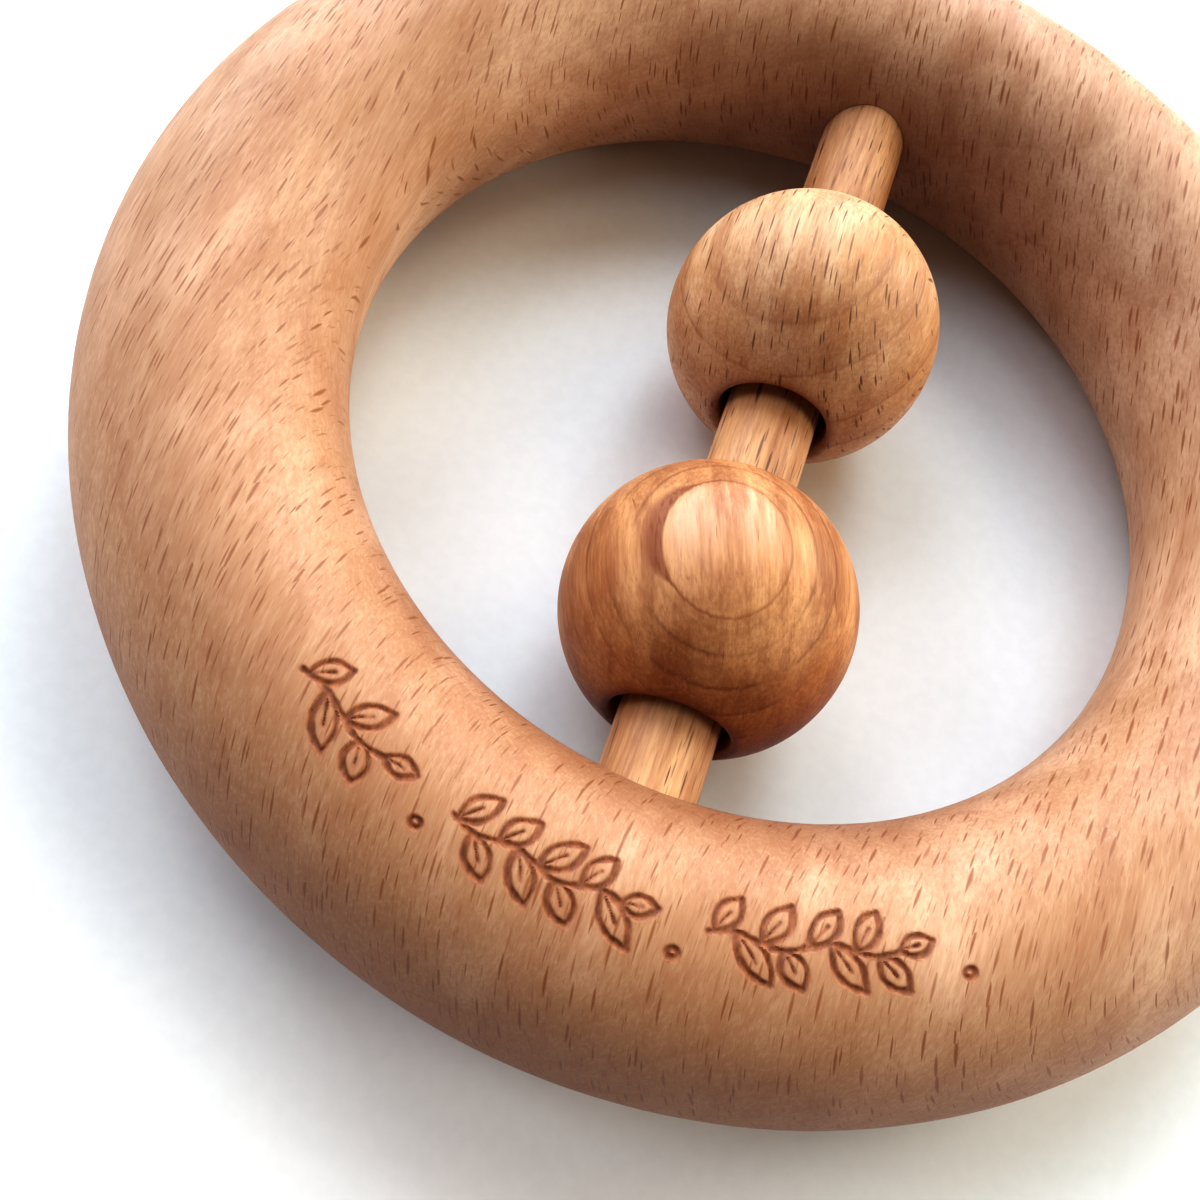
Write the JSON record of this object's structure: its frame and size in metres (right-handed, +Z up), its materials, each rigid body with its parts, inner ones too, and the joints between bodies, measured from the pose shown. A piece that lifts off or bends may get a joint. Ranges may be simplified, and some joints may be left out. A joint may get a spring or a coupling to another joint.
{
  "type": "baby rattle",
  "caption": "Round wooden ring rattle with a crossbar dowel through the middle of the ring and loose wooden beads that slide along it.",
  "frame": {"origin": "under the centre of the ring, at the level the rattle lies on", "axes": "+Z up, out of the ring's hole; the crossbar runs along Y, with the near bead towards -Y; +X is to the right"},
  "size_m": [0.09, 0.09, 0.0191],
  "materials": {
    "ring_wood": "satin, sanded beech",
    "dowel_wood": "satin, straight-grained beech",
    "near_bead_wood": "satin, oiled beech",
    "far_bead_wood": "satin, oiled beech"
  },
  "bodies": {
    "ring": {"ring": "ring_wood", "crossbar_dowel": "dowel_wood"},
    "near_bead": {"near_bead": "near_bead_wood"},
    "far_bead": {"far_bead": "far_bead_wood"}
  },
  "joints": [
    {"name": "near_bead_slide", "type": "slide", "parent": "ring", "child": "near_bead", "axis": [0, 1, 0], "range_m": [-0.0039, 0.0036]},
    {"name": "far_bead_slide", "type": "slide", "parent": "ring", "child": "far_bead", "axis": [0, 1, 0], "range_m": [-0.0028, 0.0109]}
  ]
}
